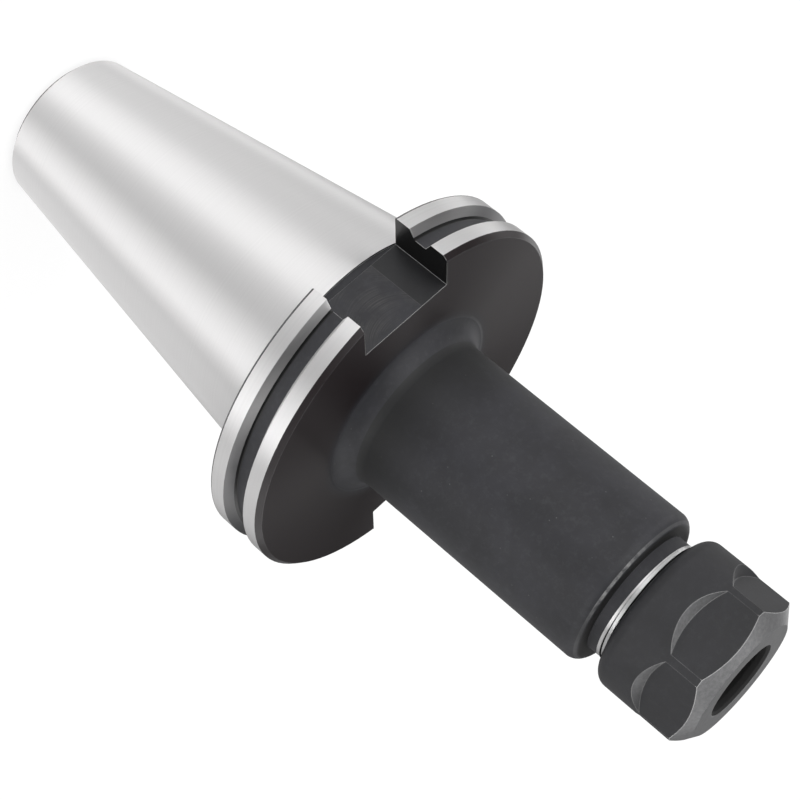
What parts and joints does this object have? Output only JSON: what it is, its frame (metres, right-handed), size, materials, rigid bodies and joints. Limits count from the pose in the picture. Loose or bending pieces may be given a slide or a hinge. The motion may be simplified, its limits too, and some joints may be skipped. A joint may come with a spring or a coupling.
{
  "type": "collet chuck holder",
  "caption": "Machine tool holder: steep ground taper shank, grooved flange with drive slots, long blackened body and a hexagon nut that closes a spring collet.",
  "frame": {"origin": "on the axis at the gauge line of the taper, where its diameter is 69.85 mm", "axes": "+Z along the axis towards the nut, +Y through one of the two drive slots"},
  "size_m": [0.0974, 0.094, 0.2216],
  "materials": {
    "holder_steel": "black oxide on turned steel, with a bright ground taper and bright flange rims",
    "nut_steel": "black oxide on milled steel",
    "screw_steel": "bright turned steel"
  },
  "bodies": {
    "holder": {"holder_body": "holder_steel"},
    "nut": {"clamping_nut": "nut_steel"},
    "stop": {"stop_screw": "screw_steel"}
  },
  "joints": [
    {"name": "nut_unscrew", "type": "slide", "parent": "holder", "child": "nut", "axis": [0, 0, 1], "range_m": [-0.0015, 0.021]},
    {"name": "stop_adjust", "type": "slide", "parent": "holder", "child": "stop", "axis": [0, 0, 1], "range_m": [-0.0255, 0.0135]}
  ]
}
